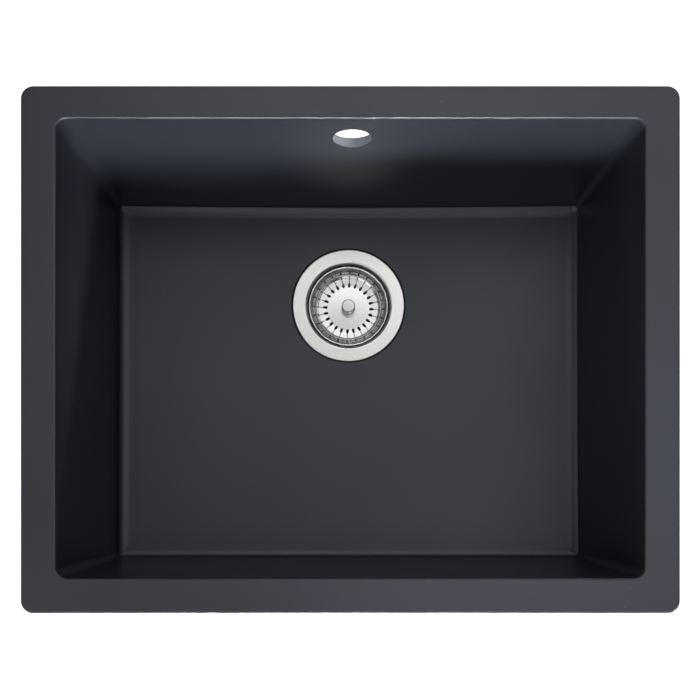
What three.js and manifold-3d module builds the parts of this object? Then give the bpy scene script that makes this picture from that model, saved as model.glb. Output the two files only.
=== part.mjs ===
// Undermount kitchen sink with a single rectangular bowl, a 3 1/2 inch basket strainer waste
// and six swing-out fixing clips under the rim.
// Millimetres. Origin: centre of the rim's top face, which seats against the underside of the worktop.
// +X to the right, +Y towards the back wall with the overflow hole, +Z up.
import * as THREE from 'three';
import { mergeVertices } from 'three/addons/utils/BufferGeometryUtils.js';
import Module from 'manifold-3d';

const wasm = await Module();
wasm.setup();

// ---------------------------------------------------------------- driving dimensions
const RIM_HALF_X = 275, RIM_HALF_Y = 220;      // outer half sizes of the rim
const RIM_R = 10.5;                            // plan radius of the rim's outer corners
const RIM_THICK = 10;
const RIM_EDGE_R = 1.6;                        // small round on the rim's outer edges
const OPEN_HALF_X = 246, OPEN_HALF_Y = 191.5;  // bowl opening just below the rim, at z = -EDGE_R
const OPEN_R = 11;                             // plan radius of the bowl's corners at the top
const FLOOR_R = 5;                             // and at the floor
const EDGE_R = 2;                              // round where the rim turns into the bowl
const DRAFT = Math.tan(THREE.MathUtils.degToRad(5)); // wall draft
const FILLET = 8;                              // wall to floor fillet
const WALL = 8;                                // wall thickness
const FLOOR_THICK = 9;
const DEPTH = 194;                             // floor depth at the waste
const FALL = 0.03;                             // floor rises by this much per mm away from the waste
const UNDER_R = 3;                             // fillet between the rim's underside and the outer wall

const DRAIN_Y = 78;                            // waste axis
const RECESS_R = 58.5, RECESS_Z = -196.8;      // moulded recess for the strainer's flange
const DRAIN_HOLE_R = 45;
const BOSS_R = 66, BOSS_Z = -205.5;            // thickened pad under the waste hole
const FLANGE_Z = -193.8;                       // top plane of the strainer's flange

const OVER_X = 2, OVER_Z = -37.5, OVER_R = 17; // overflow hole in the back wall
const OVER_SEAT_Y = 196, OVER_SEAT_R = 26;     // flat seat pad round it outside

const SLOTS = 24, SLOT_TURN = THREE.MathUtils.degToRad(-2.3); // slots in the basket

const CLIP_INSET = 10.5;                       // clip pivot, in from the rim's outer edge
const CLIP_HALF_W = 7.5, CLIP_T = 2.5, CLIP_REACH = 50;

// ---------------------------------------------------------------- materials
const mat = (color, roughness, metalness) => new THREE.MeshStandardMaterial({ color, roughness, metalness });
const composite = () => mat(0x2e3036, 0.62, 0);
const steel = () => mat(0xc9c7c2, 0.22, 1);
const zinc = () => mat(0xaab0b5, 0.35, 1);
const brass = () => mat(0xb9934a, 0.3, 1);
const rubber = () => mat(0x1c1c1d, 0.8, 0);
const plastic = () => mat(0x26282a, 0.5, 0);
const foam = () => mat(0x3a3a3a, 0.9, 0);

// ---------------------------------------------------------------- helpers
const root = new THREE.Group();

function solid(geometry) {
  const g = geometry.clone();
  g.deleteAttribute('normal');
  g.deleteAttribute('uv');
  const m = mergeVertices(g, 1e-4);
  const s = new wasm.Manifold(new wasm.Mesh({
    numProp: 3,
    vertProperties: new Float32Array(m.attributes.position.array),
    triVerts: new Uint32Array(m.index.array),
  }));
  return s;
}

function geometryOf(manifold) {
  const m = manifold.getMesh();
  const g = new THREE.BufferGeometry();
  g.setAttribute('position', new THREE.BufferAttribute(new Float32Array(m.vertProperties), 3));
  g.setIndex(new THREE.BufferAttribute(new Uint32Array(m.triVerts), 1));
  g.computeVertexNormals();
  return g;
}

// a profile of [radius, z] pairs turned about +Z
function turned(profile, segments = 48) {
  let area = 0;
  for (let i = 0; i < profile.length; i++) {
    const [x0, y0] = profile[i], [x1, y1] = profile[(i + 1) % profile.length];
    area += x0 * y1 - x1 * y0;
  }
  const pts = (area < 0 ? [...profile].reverse() : profile).map(([r, z]) => new THREE.Vector2(r, z));
  const g = new THREE.LatheGeometry(pts, segments);
  g.rotateX(Math.PI / 2);
  return g;
}

// a closed ring profile: the last point repeats the first
const ring = (profile, segments) => turned([...profile, profile[0]], segments);

// a round or many-sided bar along +Z between two heights
function bar(r, z0, z1, segments = 32, turn = 0) {
  const g = new THREE.CylinderGeometry(r, r, z1 - z0, segments);
  g.rotateX(Math.PI / 2);
  g.rotateZ(turn);
  g.translate(0, 0, (z0 + z1) / 2);
  return g;
}

function place(name, geometry, material, x = 0, y = 0, z = 0, turnZ = 0, parent = root) {
  const mesh = new THREE.Mesh(geometry, material);
  mesh.name = name;
  mesh.position.set(x, y, z);
  mesh.rotation.z = turnZ;
  parent.add(mesh);
  return mesh;
}

// ---------------------------------------------------------------- the bowl
// One point of a rounded rectangle; s runs over the four sides and four corners with fixed shares,
// so rings of any size join point to point.
const CORNER_STEPS = 4, LONG_STEPS = 6, SHORT_STEPS = 4;
const ringPlan = [];
{
  // counter-clockwise from the middle of the right side's lower corner
  const sides = [
    { nx: 1, ny: 0, steps: SHORT_STEPS },   // right side, going +Y
    { nx: 0, ny: 1, steps: LONG_STEPS },    // back side, going -X
    { nx: -1, ny: 0, steps: SHORT_STEPS },  // left side, going -Y
    { nx: 0, ny: -1, steps: LONG_STEPS },   // front side, going +X
  ];
  sides.forEach((side, k) => {
    for (let i = 0; i < side.steps; i++) ringPlan.push({ side: k, t: i / side.steps });
    for (let i = 0; i < CORNER_STEPS; i++) ringPlan.push({ corner: k, t: i / CORNER_STEPS });
  });
}
function rectPoint(p, hx, hy, r) {
  const cx = hx - r, cy = hy - r;
  if (p.side !== undefined) {
    const u = -1 + 2 * p.t;
    if (p.side === 0) return [hx, u * cy];
    if (p.side === 1) return [-u * cx, hy];
    if (p.side === 2) return [-hx, -u * cy];
    return [u * cx, -hy];
  }
  const a = (p.corner + p.t) * Math.PI / 2;
  const sx = [1, -1, -1, 1][p.corner], sy = [1, 1, -1, -1][p.corner];
  return [sx * cx + r * Math.cos(a), sy * cy + r * Math.sin(a)];
}
const floorZ = (x, y) => -(DEPTH + FALL * 57) + FALL * Math.max(0, Math.hypot(x, y - DRAIN_Y));
const wallInset = (z) => DRAFT * (Math.abs(z) - EDGE_R);
const cornerR = (z) => THREE.MathUtils.lerp(OPEN_R, FLOOR_R, THREE.MathUtils.clamp(Math.abs(z) / 187, 0, 1));

function bowlRings() {
  const rings = [];
  const flat = (hx, hy, r, z) => rings.push(ringPlan.map((p) => [...rectPoint(p, hx, hy, r), z]));
  const tan5 = Math.atan(DRAFT);
  // from the waste outwards over the floor: the fillet, then up the wall
  const foot = (p) => {
    const inset = wallInset(-187);
    const [x, y] = rectPoint(p, OPEN_HALF_X - inset, OPEN_HALF_Y - inset, FLOOR_R);
    return floorZ(x, y);
  };
  const uc = FILLET * (1 - Math.sin(tan5)) / Math.cos(tan5);
  for (const deg of [90, 60, 32, 5]) {
    const f = THREE.MathUtils.degToRad(deg);
    const u = uc - FILLET * Math.cos(f), up = FILLET - FILLET * Math.sin(f);
    rings.push(ringPlan.map((p) => {
      const zf = foot(p);
      const inset = wallInset(zf) + u;
      const [x, y] = rectPoint(p, OPEN_HALF_X - inset, OPEN_HALF_Y - inset, Math.max(FLOOR_R - u, 0.9));
      return [x, y, deg === 90 ? floorZ(x, y) : zf + up];
    }));
  }
  const filletTop = FILLET - FILLET * Math.sin(tan5);
  for (const t of [0.5]) {
    rings.push(ringPlan.map((p) => {
      const z = THREE.MathUtils.lerp(-EDGE_R, foot(p) + filletTop, t);
      return [...rectPoint(p, OPEN_HALF_X - wallInset(z), OPEN_HALF_Y - wallInset(z), cornerR(z)), z];
    }));
  }
  for (const deg of [0, 45, 90]) { // round over the inner edge of the rim
    const a = THREE.MathUtils.degToRad(deg);
    const u = EDGE_R * (1 - Math.cos(a));
    flat(OPEN_HALF_X + u, OPEN_HALF_Y + u, OPEN_R + u, -EDGE_R + EDGE_R * Math.sin(a));
  }
  // rim's outer edge
  for (const deg of [90, 0]) {
    const a = THREE.MathUtils.degToRad(deg);
    const u = RIM_EDGE_R * (1 - Math.cos(a));
    flat(RIM_HALF_X - RIM_EDGE_R + RIM_EDGE_R * Math.cos(a), RIM_HALF_Y - RIM_EDGE_R + RIM_EDGE_R * Math.cos(a), RIM_R - u, -RIM_EDGE_R + RIM_EDGE_R * Math.sin(a));
  }
  for (const deg of [0, 90]) {
    const a = THREE.MathUtils.degToRad(deg);
    const u = RIM_EDGE_R * (1 - Math.cos(a));
    flat(RIM_HALF_X - RIM_EDGE_R + RIM_EDGE_R * Math.cos(a), RIM_HALF_Y - RIM_EDGE_R + RIM_EDGE_R * Math.cos(a), RIM_R - u, -RIM_THICK + RIM_EDGE_R - RIM_EDGE_R * Math.sin(a));
  }
  // underside of the rim, fillet, outer wall, outer bottom edge
  const outer = (z, extra = 0) => {
    const inset = wallInset(z);
    return [OPEN_HALF_X - inset + WALL + extra, OPEN_HALF_Y - inset + WALL + extra, cornerR(z) + WALL + extra];
  };
  for (const deg of [90, 45, 0]) {
    const a = THREE.MathUtils.degToRad(deg);
    const z = -RIM_THICK - UNDER_R + UNDER_R * Math.sin(a);
    const [hx, hy, r] = outer(-RIM_THICK - UNDER_R, UNDER_R * (1 - Math.cos(a)));
    flat(hx, hy, r, z);
  }
  const bottomR = 14;
  for (const t of [1]) {
    rings.push(ringPlan.map((p) => {
      const z = THREE.MathUtils.lerp(-RIM_THICK - UNDER_R, foot(p) - FLOOR_THICK + bottomR, t);
      return [...rectPoint(p, ...outer(z)), z];
    }));
  }
  for (const deg of [45, 90]) {
    const a = THREE.MathUtils.degToRad(deg);
    rings.push(ringPlan.map((p) => {
      const z1 = foot(p) - FLOOR_THICK + bottomR;
      const [hx, hy, r] = outer(z1);
      const u = bottomR * (1 - Math.cos(a));
      const [x, y] = rectPoint(p, hx - u, hy - u, Math.max(r - u, 1.5));
      return [x, y, z1 - bottomR * Math.sin(a)];
    }));
  }
  return rings;
}

function loft(rings, first, last) {
  const n = ringPlan.length;
  const pos = [...first];
  rings.forEach((r) => r.forEach((v) => pos.push(...v)));
  pos.push(...last);
  const lastIndex = 1 + rings.length * n;
  const idx = [];
  for (let i = 0; i < n; i++) {
    const j = (i + 1) % n;
    idx.push(0, 1 + i, 1 + j);
    for (let k = 0; k + 1 < rings.length; k++) {
      const a = 1 + k * n + i, b = 1 + k * n + j, c = a + n, d = b + n;
      idx.push(a, c, b, b, c, d);
    }
    const a = 1 + (rings.length - 1) * n + i, b = 1 + (rings.length - 1) * n + j;
    idx.push(a, lastIndex, b);
  }
  const g = new THREE.BufferGeometry();
  g.setAttribute('position', new THREE.Float32BufferAttribute(pos, 3));
  g.setIndex(idx);
  return g;
}

const shell = solid(loft(
  bowlRings(),
  [0, DRAIN_Y, floorZ(0, DRAIN_Y)],
  [0, DRAIN_Y, floorZ(0, DRAIN_Y) - FLOOR_THICK],
));
const at = (g, x, y, z = 0) => { g.translate(x, y, z); return g; };
const boss = solid(at(turned([[0, -200], [BOSS_R + 4, -200], [BOSS_R, BOSS_Z + 1], [BOSS_R - 1, BOSS_Z], [0, BOSS_Z]], 40), 0, DRAIN_Y));
const recess = solid(at(bar(RECESS_R, RECESS_Z, -180, 48), 0, DRAIN_Y));
const drainHole = solid(at(bar(DRAIN_HOLE_R, -215, -180, 48), 0, DRAIN_Y));
const alongY = (r, y0, y1, segments) => {
  const g = new THREE.CylinderGeometry(r, r, y1 - y0, segments);
  g.translate(0, (y0 + y1) / 2, 0);
  return g;
};
const overHole = solid(at(alongY(OVER_R, 175, 215, 28), OVER_X, 0, OVER_Z));
const overPad = solid(at(alongY(OVER_SEAT_R, 192, OVER_SEAT_Y, 32), OVER_X, 0, OVER_Z));
const overSeat = solid(at(alongY(OVER_SEAT_R + 0.6, OVER_SEAT_Y, 215, 32), OVER_X, 0, OVER_Z));

// clip stations: pivot on the rim's underside and the heading of the parked arm
const CLIPS = [
  { name: 'left', x: -(RIM_HALF_X - CLIP_INSET), y: 0, turn: Math.PI },
  { name: 'right', x: RIM_HALF_X - CLIP_INSET, y: 0, turn: 0 },
  { name: 'back_left', x: -150, y: RIM_HALF_Y - CLIP_INSET, turn: Math.PI / 2 },
  { name: 'back_right', x: 150, y: RIM_HALF_Y - CLIP_INSET, turn: Math.PI / 2 },
  { name: 'front_left', x: -150, y: -(RIM_HALF_Y - CLIP_INSET), turn: -Math.PI / 2 },
  { name: 'front_right', x: 150, y: -(RIM_HALF_Y - CLIP_INSET), turn: -Math.PI / 2 },
];
let bowl = shell.add(boss).add(overPad).subtract(recess).subtract(drainHole).subtract(overHole).subtract(overSeat);
for (const c of CLIPS) bowl = bowl.subtract(solid(at(bar(4.3, -14, -2.8, 12), c.x, c.y))); // blind holes for the clips' inserts
place('sink_bowl', geometryOf(bowl), composite());

// ---------------------------------------------------------------- basket strainer waste
// Everything below is drawn about the waste axis with z measured from the flange's top plane.
const waste = new THREE.Group();
waste.position.set(0, DRAIN_Y, FLANGE_Z);
root.add(waste);

// pressed stainless dish: flat flange, deep cup, seat for the rubber plug, six outlet holes
const dishProfile = [
  [43.6, 0], [55.6, 0], [57, -0.9], [57, -1.5], [55.6, -1.2],
  [44.4, -1.2], [43.1, -2.8], [42.1, -30.4], [39, -34.6],
  [28.2, -37.2], [22.2, -45.2],
  [6.6, -45.2], [6.6, -44],
  [21.4, -44], [26.9, -36.4],
  [38.2, -33.4], [40.8, -29.8], [41.6, -2.4], [42.2, -0.7],
];
let dish = solid(ring(dishProfile, 40));
for (let i = 0; i < 6; i++) {
  const a = (i + 0.5) * Math.PI / 3;
  dish = dish.subtract(solid(at(bar(4.6, -50, -40, 10), 14.4 * Math.cos(a), 14.4 * Math.sin(a))));
}
place('strainer_dish', geometryOf(dish), steel(), 0, 0, 0, 0, waste);

// foam ring under the flange and rubber ring under the bowl
place('flange_seal', ring([[46, -2.7], [56.2, -2.7], [56.2, -1.8], [46, -1.8]], 32), foam(), 0, 0, 0, 0, waste);
place('body_gasket', ring([[47.5, -14.7], [60, -14.7], [60, -12], [47.5, -12]], 32), rubber(), 0, 0, 0, 0, waste);

// moulded waste body: flange, cup, cone, threaded outlet, spoked centre boss and overflow spigot
const bodyProfile = [
  [44.4, -15], [61, -15], [61, -20], [47.6, -20],
  [47.2, -49.5], [45.4, -55], [28.6, -67.5], [23.9, -71.5], [23.9, -104], [23, -105],
  [20, -105], [20, -70.2], [24.6, -65.6], [41.8, -53.4], [43.6, -49],
];
const HEX_TURN = Math.PI / 6;
let wasteBody = solid(ring(bodyProfile, 32));
wasteBody = wasteBody.add(solid(bar(10.5, -68, -54.2, 16)));
for (let i = 0; i < 2; i++) {
  const rib = new THREE.BoxGeometry(62, 3.4, 8);
  rib.translate(0, 0, -60);
  rib.rotateZ(Math.PI / 4 + i * Math.PI / 2);
  wasteBody = wasteBody.add(solid(rib));
}
wasteBody = wasteBody.subtract(solid(bar(7.6, -65.6, -50, 6, HEX_TURN))).subtract(solid(bar(4.4, -80, -50, 12)));
const SPIGOT_Z = -37;
const spigot = solid(at(alongY(12.6, 40, 68, 20), 0, 0, SPIGOT_Z)).add(solid(at(alongY(15.5, 40, 52, 20), 0, 0, SPIGOT_Z)))
  .subtract(solid(bar(45.5, -60, -10, 32)));
wasteBody = wasteBody.add(spigot).subtract(solid(at(alongY(9.6, 30, 75, 16), 0, 0, SPIGOT_Z)));
place('waste_body', geometryOf(wasteBody), plastic(), 0, 0, 0, 0, waste);

// hexagonal brass nut in the boss, and the centre screw with its socket for the basket's stem
const insertNut = solid(bar(7.3, -65.3, -54.8, 6, HEX_TURN)).subtract(solid(bar(4.3, -70, -50, 14)));
place('screw_insert', geometryOf(insertNut), brass(), 0, 0, 0, 0, waste);
place('clamp_screw', turned([
  [0, -63], [3.4, -63], [3.9, -62.3], [3.9, -53], [6.2, -53], [6.2, -43.7], [8.6, -43.7], [8.6, -42.2], [7.9, -41.5],
  [4.6, -41.5], [4.6, -51.4], [0, -51.4],
], 20), steel(), 0, 0, 0, 0, waste);

// blanking cap and washer on the overflow spigot
const cap = new THREE.Group();
cap.position.set(0, 0, SPIGOT_Z);
cap.rotation.x = -Math.PI / 2; // the cap's own +Z points along the spigot, +Y
waste.add(cap);
place('overflow_cap', turned([[0, 70.1], [12.9, 70.1], [12.9, 57], [16, 57], [16, 72], [15.2, 72.8], [0, 72.8]], 20), plastic(), 0, 0, 0, 0, cap);
place('overflow_cap_washer', turned([[0, 68.3], [12.2, 68.3], [12.2, 69.8], [0, 69.8]], 20), rubber(), 0, 0, 0, 0, cap);

// ---------------------------------------------------------------- the removable basket
const basketProfile = [
  [2.5, -14.6], [22.8, -14.6], [30.7, -13.95], [32.2, -7.5], [32.8, -7.6], [35.1, -11.6], [38.4, -3.6], [39.5, -3.2], [40.6, -4],
  [40.65, -8.6], [39.85, -8.6], [39.85, -4.4], [39, -4.2], [35.3, -13.2], [32.6, -8.9], [31.5, -15], [23, -15.8], [2.5, -15.8],
];
let basket = solid(ring(basketProfile, 48));
for (let i = 0; i < SLOTS; i++) {
  const wide = new THREE.BoxGeometry(3.5, 2.1, 7);
  wide.translate(23.15, 0, -13.5);
  const thin = new THREE.BoxGeometry(7.2, 0.6, 9);
  thin.translate(28.4, 0, -13);
  const outerHole = new THREE.BoxGeometry(2, 1.1, 8);
  outerHole.translate(35.4, 0, -12);
  for (const slot of [wide, thin, outerHole]) {
    slot.rotateZ(SLOT_TURN + i * 2 * Math.PI / SLOTS);
    basket = basket.subtract(solid(slot));
  }
}
place('basket', geometryOf(basket), steel(), 0, 0, 0, 0, waste);
place('basket_knob', turned([
  [0, -14.3], [6.9, -14.3], [6.9, -13.7], [6.3, -12.6], [6.1, -8], [6.65, -2.3], [6.1, -1.5], [0, -1.3],
], 20), steel(), 0, 0, 0, 0, waste);
root.updateMatrixWorld(true);

const stemProfile = [
  [0, -49], [2.5, -49], [3.4, -48.1], [3.4, -45.9], [2.9, -45.7], [2.9, -44.3], [3.4, -44.1], [3.4, -30.8], [5.6, -30.8],
  [5.6, -16.1], [2.1, -16.1], [2.1, -14.7], [0, -14.7],
];
place('basket_stem', turned(stemProfile, 16), steel(), 0, 0, 0, 0, waste);
const oRing = [];
for (let i = 0; i < 6; i++) {
  const a = i * Math.PI / 3;
  oRing.push([3.62 + 0.62 * Math.cos(a), -45 + 0.62 * Math.sin(a)]);
}
place('stem_o_ring', ring(oRing, 16), rubber(), 0, 0, 0, 0, waste);
place('basket_seal', ring([
  [3.8, -36], [3.8, -31.1], [9, -31.1], [16, -33.6], [24.6, -34.6], [25.2, -36.0], [23.4, -38.2], [22.4, -38.2], [21, -36],
], 28), rubber(), 0, 0, 0, 0, waste);
place('seal_washer', ring([[3.8, -37.3], [10, -37.3], [10, -36.3], [3.8, -36.3]], 20), steel(), 0, 0, 0, 0, waste);
const stemNut = solid(bar(6, -40.6, -37.6, 6)).subtract(solid(bar(3.8, -45, -30, 14)));
place('stem_nut', geometryOf(stemNut), zinc(), 0, 0, 0, 0, waste);

// ---------------------------------------------------------------- swing-out clips under the rim
// The arm is parked along the rim. Its heel is round on the wall side and square on the other,
// so that it swings out and stops against the bowl just past square.
function clipArm() {
  const w = CLIP_HALF_W, back = -8, tip = CLIP_REACH;
  const plan = new THREE.Shape();
  plan.moveTo(w, back);
  plan.lineTo(w, tip - w);
  plan.absarc(0, tip - w, w, 0, Math.PI, false);
  plan.lineTo(-w, back + w);
  plan.absarc(0, back + w, w, Math.PI, 1.5 * Math.PI, false);
  plan.lineTo(w, back);
  const pivot = new THREE.Path();
  pivot.absarc(0, 0, 3.4, 0, Math.PI * 2, true);
  const slot = new THREE.Path();
  slot.absarc(0, 40.5, 3, 0, Math.PI, false);
  slot.absarc(0, 28.5, 3, Math.PI, 2 * Math.PI, false);
  plan.holes.push(pivot, slot);
  const flat = new THREE.ExtrudeGeometry(plan, { depth: 20, bevelEnabled: false, curveSegments: 6 });
  flat.translate(0, 0, -25);
  // side profile with a shallow joggle, extruded across the width
  const z0 = -RIM_THICK - 0.3, t = CLIP_T, j = 3;
  const side = new THREE.Shape([
    [-12, z0], [14, z0], [19, z0 - j], [tip + 2, z0 - j], [tip + 2, z0 - j - t],
    [18.2, z0 - j - t], [13.2, z0 - t], [-12, z0 - t],
  ].map(([a, b]) => new THREE.Vector2(a, b)));
  const strip = new THREE.ExtrudeGeometry(side, { depth: 20, bevelEnabled: false });
  strip.translate(0, 0, -10);
  // profile's x runs along the arm (+Y), its y is z, and the extrusion runs across the arm
  strip.applyMatrix4(new THREE.Matrix4().set(0, 0, 1, 0, 1, 0, 0, 0, 0, 1, 0, 0, 0, 0, 0, 1));
  return geometryOf(solid(flat).intersect(solid(strip)));
}
const armGeometry = clipArm();
const clipScrew = solid(turned([
  [0, -3.6], [2.4, -3.6], [2.9, -4.2], [2.9, -14.7], [5.6, -14.7], [5.6, -18.4], [5, -19], [0, -19],
], 12)).intersect(solid(bar(5.9, -30, 0, 6)));
const clipScrewGeometry = geometryOf(clipScrew);
for (const c of CLIPS) {
  const g = new THREE.Group();
  g.position.set(c.x, c.y, 0);
  g.rotation.z = c.turn;
  root.add(g);
  place('clip_arm_' + c.name, armGeometry.clone(), steel(), 0, 0, 0, 0, g);
  place('clip_insert_' + c.name, ring([[3.1, -9.9], [4, -9.9], [4, -3.2], [3.1, -3.2]], 10), brass(), 0, 0, 0, 0, g);
  place('clip_washer_' + c.name, ring([[3.3, -14.4], [6.8, -14.4], [6.8, -13.1], [3.3, -13.1]], 14), zinc(), 0, 0, 0, 0, g);
  place('clip_screw_' + c.name, clipScrewGeometry.clone(), zinc(), 0, 0, 0, 0, g);
}

export default root;
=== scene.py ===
# Looks of an undermount kitchen sink: one moulded composite bowl, a basket strainer waste with a
# lift-out basket, and six swing-out fixing clips under the rim. Metres; sizes below are in mm.
import math

import bpy
import numpy as np
from mathutils import Matrix, Vector


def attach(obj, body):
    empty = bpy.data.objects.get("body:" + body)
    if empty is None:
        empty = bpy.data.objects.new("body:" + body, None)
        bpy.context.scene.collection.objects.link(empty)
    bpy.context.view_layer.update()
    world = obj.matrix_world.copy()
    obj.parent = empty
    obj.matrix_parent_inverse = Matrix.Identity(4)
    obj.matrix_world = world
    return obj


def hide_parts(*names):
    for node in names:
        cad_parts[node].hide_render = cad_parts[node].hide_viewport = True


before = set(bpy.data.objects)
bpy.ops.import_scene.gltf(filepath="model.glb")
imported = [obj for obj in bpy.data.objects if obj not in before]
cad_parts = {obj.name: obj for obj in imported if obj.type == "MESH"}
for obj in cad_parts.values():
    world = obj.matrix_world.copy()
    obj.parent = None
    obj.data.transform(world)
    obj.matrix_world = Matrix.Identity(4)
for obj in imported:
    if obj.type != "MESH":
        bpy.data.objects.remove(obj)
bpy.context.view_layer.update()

MM = 0.001
TAU = 2 * math.pi
scene = bpy.context.scene

# ------------------------------------------------------------------ driving dimensions, as in the CAD
RIM_HALF_X, RIM_HALF_Y, RIM_R, RIM_THICK, RIM_EDGE_R = 275.0, 220.0, 10.5, 10.0, 1.6
OPEN_HALF_X, OPEN_HALF_Y, OPEN_R, FLOOR_R, EDGE_R = 245.4, 191.5, 9.0, 5.0, 2.0
OPEN_SHIFT = 1.2  # the opening sits this far towards the back at the rim, and fades to nothing at the floor
DRAFT = math.tan(math.radians(5))
COVE_R, COVE_FRONT_R, COVE_FROM = 13.0, 9.0, 46  # cove round the floor, met by the wall at a crease
WALL, FLOOR_THICK, DEPTH, FALL, UNDER_R = 8.0, 9.0, 194.0, 0.03, 3.0
DRAIN_Y, RECESS_R, RECESS_Z, DRAIN_HOLE_R = 78.0, 57.6, -196.8, 45.0
BOSS_R, BOSS_Z, FLANGE_Z = 66.0, -205.5, -193.8
OVER_X, OVER_Z, OVER_R, OVER_SEAT_Y, OVER_SEAT_R = 2.0, -37.5, 17.0, 196.0, 26.0
SLOTS, SLOT_TURN = 24, math.radians(-2.3)
SPIGOT_Z = -37.0
CLIP_INSET, CLIP_HALF_W, CLIP_T, CLIP_REACH = 10.5, 7.5, 2.5, 50.0
CLIPS = {
    "left": (-(RIM_HALF_X - CLIP_INSET), 0.0, math.pi),
    "right": (RIM_HALF_X - CLIP_INSET, 0.0, 0.0),
    "back_left": (-150.0, RIM_HALF_Y - CLIP_INSET, math.pi / 2),
    "back_right": (150.0, RIM_HALF_Y - CLIP_INSET, math.pi / 2),
    "front_left": (-150.0, -(RIM_HALF_Y - CLIP_INSET), -math.pi / 2),
    "front_right": (150.0, -(RIM_HALF_Y - CLIP_INSET), -math.pi / 2),
}


def floor_z(x, y):
    return -(DEPTH + FALL * 57) + FALL * math.hypot(x, y - DRAIN_Y)


def wall_inset(z):
    return DRAFT * (abs(z) - EDGE_R)


def shift(z):
    """How far the cavity sits towards the back at this height."""
    return OPEN_SHIFT * min(1.0, max(0.0, 1 - abs(z) / 187))


# ------------------------------------------------------------------ node materials
class Nodes:
    """A material being built: node() adds a node, and links are made by passing sockets as inputs."""

    def __init__(self, name):
        self.m = bpy.data.materials.new(name)
        self.m.use_nodes = True
        self.t = self.m.node_tree
        self.t.nodes.clear()

    def node(self, kind, **settings):
        inputs = settings.pop("inputs", {})
        n = self.t.nodes.new(kind)
        for k, v in settings.items():
            setattr(n, k, v)
        for k, v in inputs.items():
            socket = n.inputs[k]
            if isinstance(v, bpy.types.NodeSocket):
                self.t.links.new(v, socket)
            else:
                socket.default_value = v
        return n

    def coords(self, location=(0, 0, 0)):
        """The object's own coordinates in metres, moved by location."""
        c = self.node("ShaderNodeTexCoord").outputs["Object"]
        return self.node("ShaderNodeVectorMath", operation="SUBTRACT", inputs={0: c, 1: location}).outputs[0]

    def noise(self, vector, scale, detail=3.0, roughness=0.5, distortion=0.0):
        return self.node("ShaderNodeTexNoise", inputs={
            "Vector": vector, "Scale": scale, "Detail": detail, "Roughness": roughness, "Distortion": distortion,
        }).outputs["Fac"]

    def ramp(self, value, a, b, lo=0.0, hi=1.0, smooth=True):
        """value a..b becomes lo..hi, held outside."""
        return self.node("ShaderNodeMapRange", interpolation_type="SMOOTHSTEP" if smooth else "LINEAR", inputs={
            "Value": value, "From Min": a, "From Max": b, "To Min": lo, "To Max": hi,
        }).outputs["Result"]

    def maths(self, operation, a, b=0.5, c=0.5):
        return self.node("ShaderNodeMath", operation=operation, inputs={0: a, 1: b, 2: c}).outputs[0]

    def mix(self, factor, a, b):
        n = self.node("ShaderNodeMix", data_type="RGBA")
        for key, v in (("Factor", factor), ("A", a), ("B", b)):
            socket = [s for s in n.inputs if s.name == key and s.enabled][0]
            if isinstance(v, bpy.types.NodeSocket):
                self.t.links.new(v, socket)
            else:
                socket.default_value = (*v, 1.0) if isinstance(v, tuple) else v
        return [s for s in n.outputs if s.enabled][0]

    def bump(self, height, distance, strength=1.0, normal=None):
        inputs = {"Height": height, "Distance": distance, "Strength": strength}
        if normal is not None:
            inputs["Normal"] = normal
        return self.node("ShaderNodeBump", inputs=inputs).outputs["Normal"]

    def shader(self, **inputs):
        p = self.node("ShaderNodeBsdfPrincipled", inputs={k.replace("_", " "): v for k, v in inputs.items()})
        out = self.node("ShaderNodeOutputMaterial")
        self.t.links.new(p.outputs[0], out.inputs[0])
        return self.m


def polar(n, centre):
    """Radius from a vertical axis, with x, y and height, for turned and brushed marks."""
    c = n.coords(centre)
    s = n.node("ShaderNodeSeparateXYZ", inputs={0: c})
    x, y, z = s.outputs
    r = n.maths("SQRT", n.maths("ADD", n.maths("MULTIPLY", x, x), n.maths("MULTIPLY", y, y)))
    return r, x, y, z


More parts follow.
